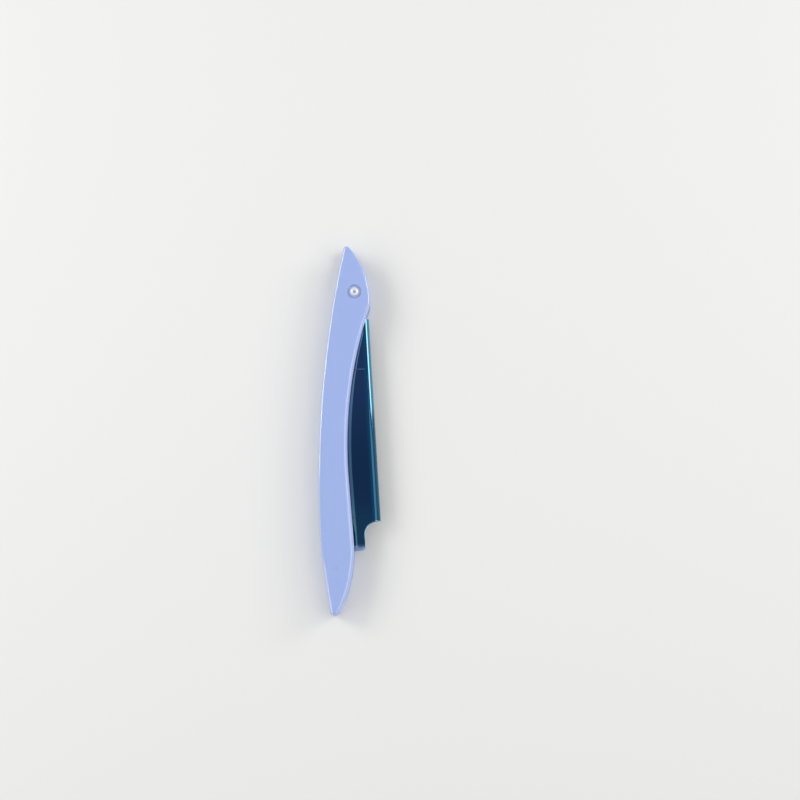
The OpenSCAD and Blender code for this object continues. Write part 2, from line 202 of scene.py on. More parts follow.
# Steel sheet polished to a mirror and coated blue: nearly black navy on the flats; teal round the spine,
# with a painted reflection where the leaf turns into it and painted shade on its lower part; pale turquoise
# along the notch's edge, and paler, duller steel at the toe's end
def blueMirrorSteel():
    coating = {
        # Zones in order: name, what it lies over, its colour or zone, and from where to where it comes in,
        # in millimetres across (X), along (Y) or from the middle of the notch
        "zones": (
            ("navy", "#577790", "#3e6579", "Y", -30, -66),
            ("end", "navy", "#4c8085", "Y", -72, -92),
            # Painted reflection: teal painted on the leaf where it turns into the spine
            ("bend", "end", "#33929b", "X", 1.2, 2.5),
            # Painted shade: the spine's teal turns darker past 42 mm along, so the lamp's bright line on it
            # fades lower down
            ("spine", "#4e7e94", "#184e68", "Y", -42, -48),
            ("sheet", "bend", "spine", "X", 2.5, 3.0),
            ("rim", "sheet", "#7fc4cf", "notch", 5.2, 4.9),
            # Paler and rougher towards the toe's end
            ("toeEnd", "rim", "#d3e8f2", "Y", -93.0, -95.5),
        ),
        "roughness": (0.05, 0.11), "toeEndRoughness": 0.45, "patchSize": 9.0,
        "scratchWidth": 0.35, "scratchLength": 25.0, "scratchHeight": 0.0004,
        "waveSize": 14.0, "waveHeight": 0.006,
    }
    material = newMaterial("blueMirrorSteel")
    flat = placedCoordinates(material, carrierLean)
    place = addNode(material, "ShaderNodeSeparateXYZ", {}, {}, {"Vector": flat})
    level = addNode(material, "ShaderNodeVectorMath", {"operation": "MULTIPLY"}, {1: (1, 1, 0)}, {0: flat})
    reach = addNode(material, "ShaderNodeVectorMath", {"operation": "DISTANCE"}, {1: notchCentre},
                    {0: level.outputs["Vector"]})
    measures = {"X": place.outputs["X"], "Y": place.outputs["Y"], "notch": reach.outputs["Value"]}
    zones = {}
    for name, under, tone, measure, start, end in coating["zones"]:
        share = addNode(material, "ShaderNodeMapRange", {"interpolation_type": "SMOOTHSTEP"},
                        {"From Min": start, "From Max": end}, {"Value": measures[measure]})
        both = {6: under, 7: tone}
        zones[name] = addNode(material, "ShaderNodeMix", {"data_type": "RGBA"},
                              {i: toLinear(both[i]) for i in both if both[i] not in zones},
                              {0: share.outputs["Result"],
                               **{i: zones[both[i]] for i in both if both[i] in zones}}).outputs[2]
    roughness = patchyRoughness(material, coating, flat, 5, (0.35, 0.65))[1]
    toeEnd = addNode(material, "ShaderNodeMix", {"data_type": "FLOAT"}, {3: coating["toeEndRoughness"]},
                     {0: share.outputs["Result"], 2: roughness})
    wavy = relief(material, flat, {"Scale": 1 / coating["waveSize"], "Detail": 1}, coating["waveHeight"])
    along = placedCoordinates(material, carrierLean, (coating["scratchWidth"], coating["scratchLength"], 1))
    scratched = relief(material, along, {"Scale": 1, "Detail": 4, "Roughness": 0.6},
                       coating["scratchHeight"], {"Normal": wavy})
    return finishMaterial(material,
                          {"Metallic": 1, "Coat Weight": 1, "Coat Roughness": 0.04, "Coat IOR": 1.3},
                          {"Base Color": zones["toeEnd"], "Roughness": toeEnd.outputs[0],
                           "Normal": scratched})


# Nickel plate, tumbled, with the tool's rings round the pivot. Its near-white, half-metallic colour on the
# turned rivet is a painted sheen standing in for bright reflections, and the bluer grey on the stamped
# collars is a painted reflection of the plastic round them and painted shade of their recess
def nickelPlate(name):
    plate = {
        # The rivet's near-white is a painted sheen; the collars' bluer grey is a painted reflection and
        # painted shade
        "nickelPlate": {"colour": "#fbfbfd", "dull": "#e6e7ec", "metallic": 0.35},
        "nickelPlatePaintedReflection": {"colour": "#c3cfe8", "dull": "#b3c0dd", "metallic": 0.25},
    }[name]
    plate.update({"ringSpacing": 0.16, "ringHeight": 0.0008, "roughness": (0.22, 0.36), "patchSize": 0.8})
    ringsPerUnit = 3.18  # of a wave texture at a scale of 1
    material = newMaterial(name)
    flat = placedCoordinates(material)
    rings = addNode(material, "ShaderNodeTexWave",
                    {"wave_type": "RINGS", "rings_direction": "Z", "wave_profile": "SIN"},
                    {"Scale": 1 / plate["ringSpacing"] / ringsPerUnit,
                     "Distortion": 1.5, "Detail": 2, "Detail Scale": 2}, {"Vector": flat})
    turned = addNode(material, "ShaderNodeBump", {},
                     {"Strength": 1, "Distance": plate["ringHeight"] * mm}, {"Height": rings.outputs["Fac"]})
    return finishMaterial(material, {"Metallic": plate["metallic"]},
                          {**patchyFinish(material, plate, flat, 4), "Normal": turned.outputs["Normal"]})


# Nylon washers stamped from sheet: milky white, slightly translucent, with a dull calendered face
def stampedNylon():
    nylon = {"colour": "#eeeff1", "dull": "#dfe2e6", "roughness": (0.48, 0.48), "patchSize": 1.5,
             "grainSize": 0.12, "grainHeight": 0.004}
    material = newMaterial("stampedNylon")
    flat = placedCoordinates(material)
    grainy = relief(material, flat, {"Scale": 1 / nylon["grainSize"], "Detail": 2}, nylon["grainHeight"])
    return finishMaterial(material, {"IOR": 1.53, "Subsurface Weight": 0.2, "Subsurface Scale": 0.8 * mm},
                          {**patchyFinish(material, nylon, flat, 3), "Normal": grainy})


# Bar steel, milled and tumbled: mid grey, with a soft broken sheen and fine marks along the bar
def tumbledBarSteel():
    bar = {"colour": "#9aa0a8", "dull": "#7f858e", "roughness": (0.28, 0.45), "patchSize": 2.0,
           "markWidth": 0.12, "markLength": 5.0, "markHeight": 0.003}
    material = newMaterial("tumbledBarSteel")
    flat = placedCoordinates(material, carrierLean)
    along = placedCoordinates(material, carrierLean, (bar["markWidth"], bar["markLength"], bar["markWidth"]))
    milled = relief(material, along, {"Scale": 1, "Detail": 3}, bar["markHeight"])
    return finishMaterial(material, {"Metallic": 1},
                          {**patchyFinish(material, bar, flat, 5), "Normal": milled})


# Rolled blade strip with a ground edge: cool bright steel, rolling lines along it, and grinding
# lines across the bevels, which take a duller sheen
def rolledBladeSteel():
    strip = {"colour": "#c6cbd2", "ground": "#aeb4bd", "roughness": (0.2, 0.36),
             "bevelFrom": -7.85, "bevelTo": -7.9,  # mm across
             "lineWidth": 0.06, "lineLength": 12.0, "lineHeight": 0.0012,
             "grindWidth": 0.09, "grindLength": 10 / 3}
    material = newMaterial("rolledBladeSteel")
    flat = placedCoordinates(material, carrierLean)
    place = addNode(material, "ShaderNodeSeparateXYZ", {}, {}, {"Vector": flat})
    bevel = addNode(material, "ShaderNodeMapRange", {},
                    {"From Min": strip["bevelFrom"], "From Max": strip["bevelTo"]},
                    {"Value": place.outputs["X"]})
    colour = addNode(material, "ShaderNodeMix", {"data_type": "RGBA"},
                     {6: toLinear(strip["colour"]), 7: toLinear(strip["ground"])},
                     {0: bevel.outputs["Result"]})
    roughness = addNode(material, "ShaderNodeMapRange", {},
                        {"To Min": strip["roughness"][0], "To Max": strip["roughness"][1]},
                        {"Value": bevel.outputs["Result"]})
    along = placedCoordinates(material, carrierLean, (strip["lineWidth"], strip["lineLength"], 1))
    across = placedCoordinates(material, carrierLean, (strip["grindLength"], strip["grindWidth"], 1))
    rolled = addNode(material, "ShaderNodeTexNoise", {}, {"Scale": 1, "Detail": 3}, {"Vector": along})
    ground = addNode(material, "ShaderNodeTexNoise", {}, {"Scale": 1, "Detail": 3}, {"Vector": across})
    lines = addNode(material, "ShaderNodeMix", {"data_type": "FLOAT"}, {},
                    {0: bevel.outputs["Result"], 2: rolled.outputs["Fac"], 3: ground.outputs["Fac"]})
    worked = addNode(material, "ShaderNodeBump", {},
                     {"Strength": 1, "Distance": strip["lineHeight"] * mm}, {"Height": lines.outputs[0]})
    return finishMaterial(material, {"Metallic": 1},
                          {"Base Color": colour.outputs[2], "Roughness": roughness.outputs["Result"],
                           "Normal": worked.outputs["Normal"]})


materials = {"handle_plastic": mouldedAbs(), "blue_mirror_steel": blueMirrorSteel(),
             "nickel": nickelPlate("nickelPlate"), "nickel_collar": nickelPlate("nickelPlatePaintedReflection"),
             "nylon": stampedNylon(), "bar_steel": tumbledBarSteel(), "blade_steel": rolledBladeSteel()}
print("materials made:", len(materials))


# Mesh helpers, in millimetres

over = 1  # how far a cutter reaches past what it cuts
near = 0.01  # how close counts as the same place
mergeDistance = 0.0005  # between corners of a finished piece
flatAngle = math.radians(0.4)  # faces that meet at less become one


def lineTo(bm, vertex, x, y, z=0.0):
    new = bmesh.ops.extrude_vert_indiv(bm, verts=[vertex])["verts"][0]
    new.co = (x, y, z)
    return new


# Runs lines from a vertex over corners, and gives the last one's vertex
def linesTo(bm, vertex, corners):
    for corner in corners:
        vertex = lineTo(bm, vertex, *corner)
    return vertex


def onlyVerts(geometry):
    return [g for g in geometry if isinstance(g, bmesh.types.BMVert)]


def move(bm, offset):
    bmesh.ops.translate(bm, vec=offset, verts=bm.verts)
    return bm


# Mirrors what lies over the middle plane to under it
def flip(bm):
    bmesh.ops.scale(bm, vec=(1, 1, -1), verts=bm.verts)
    bmesh.ops.reverse_faces(bm, faces=bm.faces)


def spin(bm, geometry, centre, axis, angle, steps, merge=False):
    return bmesh.ops.spin(bm, geom=geometry, cent=centre, axis=axis, dvec=(0, 0, 0), angle=angle,
                          space=Matrix.Identity(4), steps=steps, use_merge=merge,
                          use_normal_flip=False, use_duplicate=False)["geom_last"]


def bevel(bm, geometry, width, segments, affect="EDGES"):
    bmesh.ops.bevel(bm, geom=geometry, offset=width, offset_type="OFFSET", segments=segments, profile=0.5,
                    affect=affect, material=-1, clamp_overlap=True)


# Sweeps a vertex about a centre, and gives the arc's last vertex
def arcTo(bm, vertex, centre, angle, steps, axis=zAxis):
    return onlyVerts(spin(bm, [vertex], centre, axis, angle, steps))[0]


def weld(bm, distance=0.002):
    bmesh.ops.remove_doubles(bm, verts=bm.verts, dist=distance)


# Extrudes a sheet of faces, so that it is solid
def extrude(bm, offset):
    swept = bmesh.ops.extrude_face_region(bm, geom=bm.faces[:], use_keep_orig=True)["geom"]
    bmesh.ops.translate(bm, vec=offset, verts=onlyVerts(swept))
    bmesh.ops.recalc_face_normals(bm, faces=bm.faces)
    return bm


# Closes an outline, fills it and extrudes it from one place along an axis to another
def closedSolid(bm, last, first, axis, start, end):
    bm.edges.new((last, first))
    weld(bm)
    bmesh.ops.contextual_create(bm, geom=bm.edges[:])
    return move(extrude(bm, axis * (end - start)), axis * start)


# Bar with a closed section of corners (x, z), drawn out towards the toe
def drawnBar(corners, start, end):
    bm = bmesh.new()
    first = bm.verts.new((corners[0][0], 0, corners[0][1]))
    last = linesTo(bm, first, [(x, 0, z) for x, z in corners[1:]])
    return closedSolid(bm, last, first, -yAxis, start, end)


# Cuts everything along a plane, and clears what lies beyond it where that is asked for
def slicePiece(bm, place, normal, clear=False):
    bmesh.ops.bisect_plane(bm, geom=bm.verts[:] + bm.edges[:] + bm.faces[:], dist=1e-5,
                           plane_co=place, plane_no=normal, clear_outer=clear)


# Turns a profile of x outwards and z upwards about the pivot's axis
def turn(bm, steps=96):
    spin(bm, bm.verts[:] + bm.edges[:], (0, 0, 0), zAxis, 2 * math.pi, steps, merge=True)
    weld(bm)
    bmesh.ops.recalc_face_normals(bm, faces=bm.faces)
    return bm


# Closed profile of corners (x, z), each given with the radius that rounds it
def turnedRing(corners, steps=96):
    bm = bmesh.new()
    first = bm.verts.new((corners[0][0], 0, corners[0][1]))
    last = linesTo(bm, first, [(x, 0, z) for x, z, radius in corners[1:]])
    bm.edges.new((last, first))
    bm.verts.ensure_lookup_table()
    rounded = {bm.verts[i]: corner[2] for i, corner in enumerate(corners) if corner[2]}
    for radius in sorted(set(rounded.values())):
        bevel(bm, [v for v in rounded if v.is_valid and rounded[v] == radius], radius, segments=5,
              affect="VERTICES")
    return turn(bm, steps)


# Round cutter whose underside presses a dish into a face at a height
def dishCutter(diameter, depth, height, curve, steps, rings=8):
    bm = bmesh.new()
    vertex = bm.verts.new((0, 0, height - depth))
    for ring in range(1, rings + 1):
        share = ring / rings
        vertex = lineTo(bm, vertex, diameter / 2 * share, 0, height - depth * (1 - share ** 2) ** curve)
    linesTo(bm, vertex, [(diameter / 2, 0, height + over), (0, 0, height + over)])
    return turn(bm, steps)


def toMesh(bm, name="cutter"):
    mesh = bpy.data.meshes.new(name)
    bm.to_mesh(mesh)
    bm.free()
    piece = bpy.data.objects.new(name, mesh)
    bpy.context.scene.collection.objects.link(piece)
    return piece


# Cuts, joins or intersects a piece with another, which is used up
def combine(piece, cutter, operation="DIFFERENCE"):
    modifier = piece.modifiers.new("combine", "BOOLEAN")
    modifier.operation, modifier.solver, modifier.object = operation, "EXACT", cutter
    bpy.context.view_layer.update()
    result = bpy.data.meshes.new_from_object(piece.evaluated_get(bpy.context.evaluated_depsgraph_get()))
    piece.modifiers.clear()
    old, piece.data = piece.data, result
    bpy.data.meshes.remove(old)
    bpy.data.meshes.remove(cutter.data)
    return piece


# Rounds the edges that stand at more than an angle, shades smooth those under an angle, and takes a piece
# from millimetres to its place
def finishPiece(piece, name, space, slotName, body, nodes, edgeRadius, sharpAngle, smoothAngle=None):
    bm = bmesh.new()
    bm.from_mesh(piece.data)
    weld(bm, mergeDistance)
    bmesh.ops.dissolve_degenerate(bm, edges=bm.edges, dist=mergeDistance)
    bmesh.ops.dissolve_limit(bm, angle_limit=flatAngle, verts=bm.verts, edges=bm.edges,
                             use_dissolve_boundaries=False, delimit=set())
    if edgeRadius:
        sharp = [e for e in bm.edges if e.is_manifold and e.calc_face_angle(0) > math.radians(sharpAngle)]
        bevel(bm, sharp, edgeRadius, segments=2)
        weld(bm, mergeDistance)
    for face in bm.faces:
        face.smooth = True
    smoothUnder = math.radians(smoothAngle or sharpAngle)
    for edge in bm.edges:
        edge.smooth = not edge.is_manifold or edge.calc_face_angle(0) < smoothUnder
    bmesh.ops.transform(bm, matrix=space, verts=bm.verts)
    bm.to_mesh(piece.data)
    loose = sum(1 for e in bm.edges if not e.is_manifold)
    bm.free()
    piece.name = piece.data.name = name
    piece.data.materials.clear()
    piece.data.materials.append(materials[slotName])
    even = piece.modifiers.new("evenNormals", "WEIGHTED_NORMAL")
    even.keep_sharp, even.weight = True, 60  # over 50, so that the large faces lead
    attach(piece, body)
    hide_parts(*nodes)
    print("made", name, len(piece.data.polygons), "faces,", loose, "open edges")
    return piece


# The crescent handle, as part.scad has it: tangent circles in millimetres from the pivot
handle = {
    "thickness": 11, "slot": 5.1, "wall": 2.2, "edge": 1, "openEdge": 1.5, "openBlend": 20, "taperBlend": 4,
    "back": 393, "backReach": 13.05, "backDrop": 66.5,
    "head": 32, "headReach": 5.75, "headDrop": 4, "heel": 6, "throat": 22,
    "hollow": 165, "hollowReach": 2.35, "hollowDrop": 56,
    "tail": 50.5, "tailReach": 0.25, "tailDrop": 96.2,
    "taper": 600, "taperDrop": 97.7, "taperTurn": 3.6, "tip": 1.2, "nose": 1.9,
    "seam": 0.12, "rollSteps": 12, "runSteps": 8,
    "bore": 2.1, "eye": 7.2,  # hole and outside of what sits round the rivet's shank
}
backCentre = Vector((handle["back"] - handle["backReach"], -handle["backDrop"], 0))


def polar(radius, angle):
    return Vector((radius * math.cos(angle), radius * math.sin(angle), 0))


def bearing(start, end):
    return math.atan2(end.y - start.y, end.x - start.x)


# Bearing from the back's centre to a place along the handle, on a circle of a radius
def backBearing(radius, along):
    return math.pi - math.asin((along - backCentre.y) / radius)


# Where two circles cross, on one side of the line between their centres
def crossing(centreA, radiusA, centreB, radiusB, side):
    line = centreB - centreA
    reach = (radiusA ** 2 - radiusB ** 2 + line.length_squared) / (2 * line.length)
    along = line.normalized()
    off = Vector((-along.y, along.x, 0))
    return centreA + reach * along + side * math.sqrt(radiusA ** 2 - reach ** 2) * off


# Outline of the handle, from the nose up the open side, over the head and down the back
def handleOutline():
    h = handle
    head = Vector((h["headReach"] - h["head"], -h["headDrop"], 0))
    heel = Vector((h["headReach"] - h["heel"], -h["headDrop"], 0))
    hollow = Vector((h["hollow"] - h["hollowReach"], -h["hollowDrop"], 0))
    tail = Vector((h["tailReach"] - h["tail"], -h["tailDrop"], 0))
    throat = crossing(heel, h["heel"] + h["throat"], hollow, h["hollow"] - h["throat"], -1)
    taperFrom = math.pi + math.asin((h["taperDrop"] - h["backDrop"]) / h["back"])
    turned = taperFrom + math.radians(h["taperTurn"])
    taper = backCentre + polar(h["back"], taperFrom) - polar(h["taper"], turned)
    tip = crossing(head, h["head"] - h["tip"], backCentre, h["back"] - h["tip"], 1)
    nose = crossing(tail, h["tail"] - h["nose"], taper, h["taper"] - h["nose"], -1)
    run = bearing(tail, hollow) - math.acos((h["tail"] + h["hollow"]) / (hollow - tail).length)
    bm = bmesh.new()
    vertex = bm.verts.new(tail + polar(h["tail"], bearing(tail, nose)))
    # Centre, where the arc ends as a bearing from it, whether it turns left, and its steps
    arcs = [(tail, run, 1, 30), "run", (hollow, bearing(hollow, throat), -1, 48),
            (throat, bearing(throat, heel), -1, 20), (heel, 0, 1, 16), (head, bearing(head, tip), 1, 36),
            (tip, bearing(backCentre, tip), 1, 14), (backCentre, taperFrom, 1, 96),
            (taper, bearing(taper, nose), 1, 16), (nose, bearing(tail, nose), 1, 18)]
    for arc in arcs:
        if arc == "run":  # straight from the tail into the hollow
            start, end = vertex.co.copy(), hollow - polar(h["hollow"], run)
            vertex = linesTo(bm, vertex, [start.lerp(end, (i + 1) / h["runSteps"])
                                          for i in range(h["runSteps"])])
        else:
            centre, end, side, steps = arc
            angle = (side * (end - bearing(centre, vertex.co))) % (2 * math.pi)
            vertex = arcTo(bm, vertex, centre, side * angle, steps)
    weld(bm, near)
    return bm


# Vertices of the one closed loop in order
def orderedLoop(bm):
    start = vertex = bm.verts[:][0]
    edge, loop = vertex.link_edges[0], []
    while not loop or vertex != start:
        loop.append(vertex)
        vertex = edge.other_vert(vertex)
        edge = next(e for e in vertex.link_edges if e != edge)
    area = sum(a.co.x * b.co.y - b.co.x * a.co.y for a, b in zip(loop, loop[1:] + loop[:1]))
    return loop if area > 0 else loop[::-1]


# One shell's solid outside: a small seam bevel, the side, the rolled edge and the flat face
def shellBlank():
    bm = handleOutline()
    ring = orderedLoop(bm)
    base = [v.co.copy() for v in ring]
    count = len(base)
    outward = []
    for i, here in enumerate(base):
        before, after = (here - base[i - 1]).normalized(), (base[(i + 1) % count] - here).normalized()
        outward.append(((before + after).normalized()).cross(zAxis))
    half, steps = handle["thickness"] / 2, handle["rollSteps"]

    # The rolled edge grows from the head down the open side, and into the taper on both sides
    def roll(place, direction):
        taper = (-place.y - handle["taperDrop"]) / handle["taperBlend"]
        side = (-place.y - handle["headDrop"]) / handle["openBlend"] if direction.x > 0 else 0
        return handle["edge"] + (handle["openEdge"] - handle["edge"]) * max(0, min(1, max(taper, side)))

    radii = [roll(place, direction) for place, direction in zip(base, outward)]
    # How far each level is drawn in, and its height, for a rolled edge of radius r
    levels = [lambda r: (handle["seam"], 0), lambda r: (0, handle["seam"])]
    for step in range(steps + 1):
        angle = math.pi / 2 * step / steps
        levels.append(lambda r, a=angle: (r * (1 - math.cos(a)), half - r * (1 - math.sin(a))))
    for number, level in enumerate(levels):
        if number:
            edges = [bm.edges.get((ring[i - 1], ring[i])) for i in range(count)]
            bmesh.ops.extrude_edge_only(bm, edges=edges)
            ring = [next(e.other_vert(v) for e in v.link_edges if e not in edges
                         and e.other_vert(v).co == v.co) for v in ring]
        for vertex, place, direction, radius in zip(ring, base, outward, radii):
            inset, height = level(radius)
            vertex.co = place - inset * direction + height * zAxis
        if number in (0, len(levels) - 1):
            bmesh.ops.contextual_create(bm, geom=[bm.edges.get((ring[i - 1], ring[i])) for i in range(count)])
    bmesh.ops.recalc_face_normals(bm, faces=bm.faces)
    return bm


# What is hollow between the shells: open above the head's wall and along the open side
channel = {
    "top": 2.4, "outside": 30, "above": 40, "below": -130,
    "tailAcross": -9.45, "tailAlong": -98.8, "floorRadius": 2,
    "ribAcross": -7.65, "ribFrom": -30.75, "ribTo": -27.25, "bossHeight": 0.65,
    "lipWidth": 1.1, "lipHeight": 1.2, "lipFrom": -22, "lipTo": -91, "lipRampUp": 28, "lipRampDown": 7,
    "backAcross": -8,  # the outline's back lies beyond this, and has no lip
}


# Turns what is drawn straight to the carrier's lean
def leaned(bm):
    bmesh.ops.rotate(bm, cent=(0, 0, 0), matrix=Matrix.Rotation(carrierLean, 3, "Z"), verts=bm.verts)
    return bm


def channelCutter():
    c, slot = channel, handle["slot"]
    inner = handle["back"] - handle["wall"]
    startAngle, endAngle = backBearing(inner, c["top"]), backBearing(inner, c["below"])
    bm = bmesh.new()
    first = bm.verts.new(backCentre + polar(inner, startAngle))
    last = linesTo(bm, arcTo(bm, first, backCentre, endAngle - startAngle, steps=120),
                   [(c["outside"], c["below"]), (c["outside"], c["above"]),
                    (-c["outside"], c["above"]), (-c["outside"], c["top"])])
    hollow = toMesh(closedSolid(bm, last, first, zAxis, -over, slot / 2))
    # Solid tail beside the blade's way out, with a rounded corner
    bm = bmesh.new()
    first = bm.verts.new((-2 * c["outside"], c["tailAlong"], 0))
    vertex = lineTo(bm, first, c["tailAcross"] - c["floorRadius"], c["tailAlong"])
    vertex = arcTo(bm, vertex, (vertex.co.x, vertex.co.y - c["floorRadius"], 0), -math.pi / 2, steps=10)
    last = linesTo(bm, vertex, [(c["tailAcross"], c["below"] - c["outside"]),
                                (-2 * c["outside"], c["below"] - c["outside"])])
    combine(hollow, toMesh(leaned(closedSolid(bm, last, first, zAxis, -slot, 2 * slot))))
    # Rib that the heel of the folded carrier rests on
    bm = bmesh.new()
    bmesh.ops.create_cube(bm, size=1)
    bmesh.ops.scale(bm, vec=(c["outside"], c["ribTo"] - c["ribFrom"], 6 * slot), verts=bm.verts)
    move(bm, (c["ribAcross"] - c["outside"] / 2, (c["ribTo"] + c["ribFrom"]) / 2, 0))
    combine(hollow, toMesh(leaned(bm)))
    # Boss round the rivet
    radius, floor = handle["eye"] / 2, slot / 2 - c["bossHeight"]
    combine(hollow, toMesh(turnedRing([(0, floor, 0), (radius, floor, 0), (radius, slot, 0), (0, slot, 0)])))
    # Lip that closes the slot on the leaves along the open side, run out smoothly at both ends
    bm = handleOutline()
    bmesh.ops.delete(bm, context="VERTS", geom=[v for v in bm.verts if v.co.x < c["backAcross"]
                                                or not c["lipTo"] < v.co.y < c["lipFrom"]])
    move(bm, (over, 0, 0))
    swept = bmesh.ops.extrude_edge_only(bm, edges=bm.edges[:])["geom"]
    bmesh.ops.translate(bm, vec=(-over - c["lipWidth"], 0, 0), verts=onlyVerts(swept))
    for vertex in bm.verts:
        share = min((c["lipFrom"] - vertex.co.y) / c["lipRampUp"],
                    (vertex.co.y - c["lipTo"]) / c["lipRampDown"], 1)
        vertex.co.z = slot / 2 - c["lipHeight"] * share ** 2 * (3 - 2 * share)
    return combine(hollow, toMesh(extrude(bm, zAxis * slot)))


shells = {
    "recess": 5.4, "frontRecess": 0.55, "rearRecess": 0.9, "recessFillet": 0.3,
    "tongue": 0.8, "tongueHeight": 0.6, "tongueFit": 0.05, "tongueLow": 88.504, "tongueHigh": 0.8,
    "peg": 2.4, "pegLength": 2, "pegCorner": 0.2, "pegFit": 0.02, "pegAt": (-6.25, -102.4, 0),
    "sunk": 0.5,  # how deep the tongue and the peg are rooted
    "sink": 2.6, "sinkDepth": 0.035, "edge": 0.14, "sharpAngle": 40,
}


# Hole for the rivet's shank and the recess round its end
def rivetCutter(depth):
    half, bore, recess = handle["thickness"] / 2, handle["bore"] / 2, shells["recess"] / 2
    return toMesh(turnedRing([(0, -over, 0), (bore, -over, 0), (bore, half - depth, 0),
                              (recess, half - depth, shells["recessFillet"]),
                              (recess, half + over, 0), (0, half + over, 0)]))


# Strip along the middle of the back wall: the tongue, or with a clearance its groove
def tongueStrip(fit, low, high):
    middle = handle["back"] - handle["wall"] / 2
    width = shells["tongue"] / 2 + fit
    startAngle = backBearing(middle, shells["tongueHigh"] + fit)
    endAngle = backBearing(middle, -shells["tongueLow"] - fit)
    bm = bmesh.new()
    ends = [bm.verts.new(backCentre + polar(middle + side * width, startAngle)) for side in (-1, 1)]
    edge = bm.edges.new(ends)
    spin(bm, ends + [edge], backCentre, zAxis, endAngle - startAngle, steps=60)
    return toMesh(move(extrude(bm, zAxis * (high - low)), zAxis * low))


# The peg near the nose, or with a clearance its socket
def pegPiece(fit, low, high):
    radius = shells["peg"] / 2 + fit
    bm = turnedRing([(0, low, 0), (radius, low, 0), (radius, high, shells["pegCorner"]), (0, high, 0)],
                    steps=48)
    return toMesh(move(bm, shells["pegAt"]))


def frontScale():
    s = shells
    shell = toMesh(shellBlank())
    combine(shell, channelCutter())
    combine(shell, rivetCutter(s["frontRecess"]))
    combine(shell, tongueStrip(s["tongueFit"], -over, s["tongueHeight"] + s["tongueFit"]))
    combine(shell, pegPiece(s["pegFit"], -over, s["pegLength"] + s["pegFit"]))
    # Sink mark in the face over the peg's socket
    bm = dishCutter(s["sink"], s["sinkDepth"], handle["thickness"] / 2, curve=2, steps=48)
    combine(shell, toMesh(move(bm, s["pegAt"])))
    return finishPiece(shell, "frontScale", handleSpace, "handle_plastic", "handle", ["front_scale"],
                       s["edge"], s["sharpAngle"])


def rearScale():
    s = shells
    shell = toMesh(shellBlank())
    combine(shell, channelCutter())
    combine(shell, rivetCutter(s["rearRecess"]))
    bm = bmesh.new()
    bm.from_mesh(shell.data)
    flip(bm)
    bm.to_mesh(shell.data)
    bm.free()
    combine(shell, tongueStrip(0, -s["sunk"], s["tongueHeight"]), "UNION")
    combine(shell, pegPiece(0, -s["sunk"], s["pegLength"]), "UNION")
    return finishPiece(shell, "rearScale", handleSpace, "handle_plastic", "handle", ["rear_scale"],
                       s["edge"], s["sharpAngle"])


frontScale()
rearScale()
print("shells made")

# Rivet, in millimetres from the middle of the handle at the pivot
rivet = {
    "shank": 2, "foot": -4.95, "top": 5.3,
    "hole": 0.9, "holeFloor": 4.1, "drillTip": 0.2, "drillWidth": 0.6, "drillRise": 0.12,
    "lip": 3, "lipHeight": 0.6, "rim": 1.12,
    "flareDepth": 0.15, "flareCurve": 1.15, "flareShares": (0.15, 0.3, 0.45, 0.6, 0.75, 0.88),
    "head": 3.4, "headHeight": 0.45, "headCorner": 0.06, "headSide": 0.12,
    "crownShares": (1, 0.97, 0.9, 0.8, 0.65, 0.45, 0.2),
    "sharpAngle": 50,
}


def pivotRivet():
    r = rivet
    hole, shank, head, lip = r["hole"] / 2, r["shank"] / 2, r["head"] / 2, r["lip"] / 2
    bm = bmesh.new()
    vertex = bm.verts.new((0, 0, r["holeFloor"] - r["drillTip"]))
    vertex = linesTo(bm, vertex, [(r["drillWidth"] / 2, 0, r["holeFloor"] - r["drillRise"]),
                                  (hole, 0, r["holeFloor"]), (hole, 0, r["top"] - r["flareDepth"])])
    # The end flares out as a funnel and is rolled over at its rim
    crest = r["top"] + r["lipHeight"]
    for share in r["flareShares"]:
        vertex = lineTo(bm, vertex, hole + (r["rim"] - hole) * share ** r["flareCurve"], 0,
                        r["top"] - r["flareDepth"]
                        + (r["lipHeight"] + r["flareDepth"]) * math.sin(share * math.pi / 2))
    vertex = lineTo(bm, vertex, r["rim"], 0, crest)
    vertex = arcTo(bm, vertex, (r["rim"], 0, crest - lip + r["rim"]), math.pi / 2, steps=8, axis=yAxis)
    vertex = linesTo(bm, vertex, [(lip, 0, r["top"]), (shank, 0, r["top"]), (shank, 0, r["foot"]),
                                  (head - r["headCorner"], 0, r["foot"]),
                                  (head, 0, r["foot"] - r["headCorner"])])
    # Closed head with a low crown
    for share in r["crownShares"]:
        vertex = lineTo(bm, vertex, head * share, 0, r["foot"] - r["headSide"]
                        - (r["headHeight"] - r["headSide"]) * math.sqrt(1 - share ** 2))
    lineTo(bm, vertex, 0, 0, r["foot"] - r["headHeight"])
    return finishPiece(toMesh(turn(bm)), "pivotRivet", handleSpace, "nickel", "handle", ["pivot_rivet"],
                       0, r["sharpAngle"])


pivotRivet()

# Flat rings on the rivet: stamped collars in the recesses and friction washers beside the tang
rings = {
    "collar": {"outside": 4, "thickness": 0.35, "corner": 0.08, "slot": "nickel", "look": "nickel_collar"},
    "washer": {"outside": handle["eye"], "thickness": 0.4, "corner": 0.06, "slot": "nylon", "look": "nylon"},
    # Name, node, kind, and height of the underside
    "places": (("frontCollar", "front_collar", "collar", 4.95),
               ("rearCollar", "rear_collar", "collar", -4.95),
               ("frontWasher", "front_friction_washer", "washer", 1.5),
               ("rearWasher", "rear_friction_washer", "washer", -1.9)),
}
for name, node, kind, low in rings["places"]:
    ring, inner = rings[kind], handle["bore"] / 2
    outer, high = ring["outside"] / 2, low + ring["thickness"]
    bm = turnedRing([(x, z, ring["corner"])
                     for x, z in ((inner, low), (outer, low), (outer, high), (inner, high))])
    piece = finishPiece(toMesh(bm), name, handleSpace, ring["slot"], "handle", [node],
                        0, rivet["sharpAngle"])
    piece.data.materials[0] = materials[ring["look"]]
print("rivet and washers made")

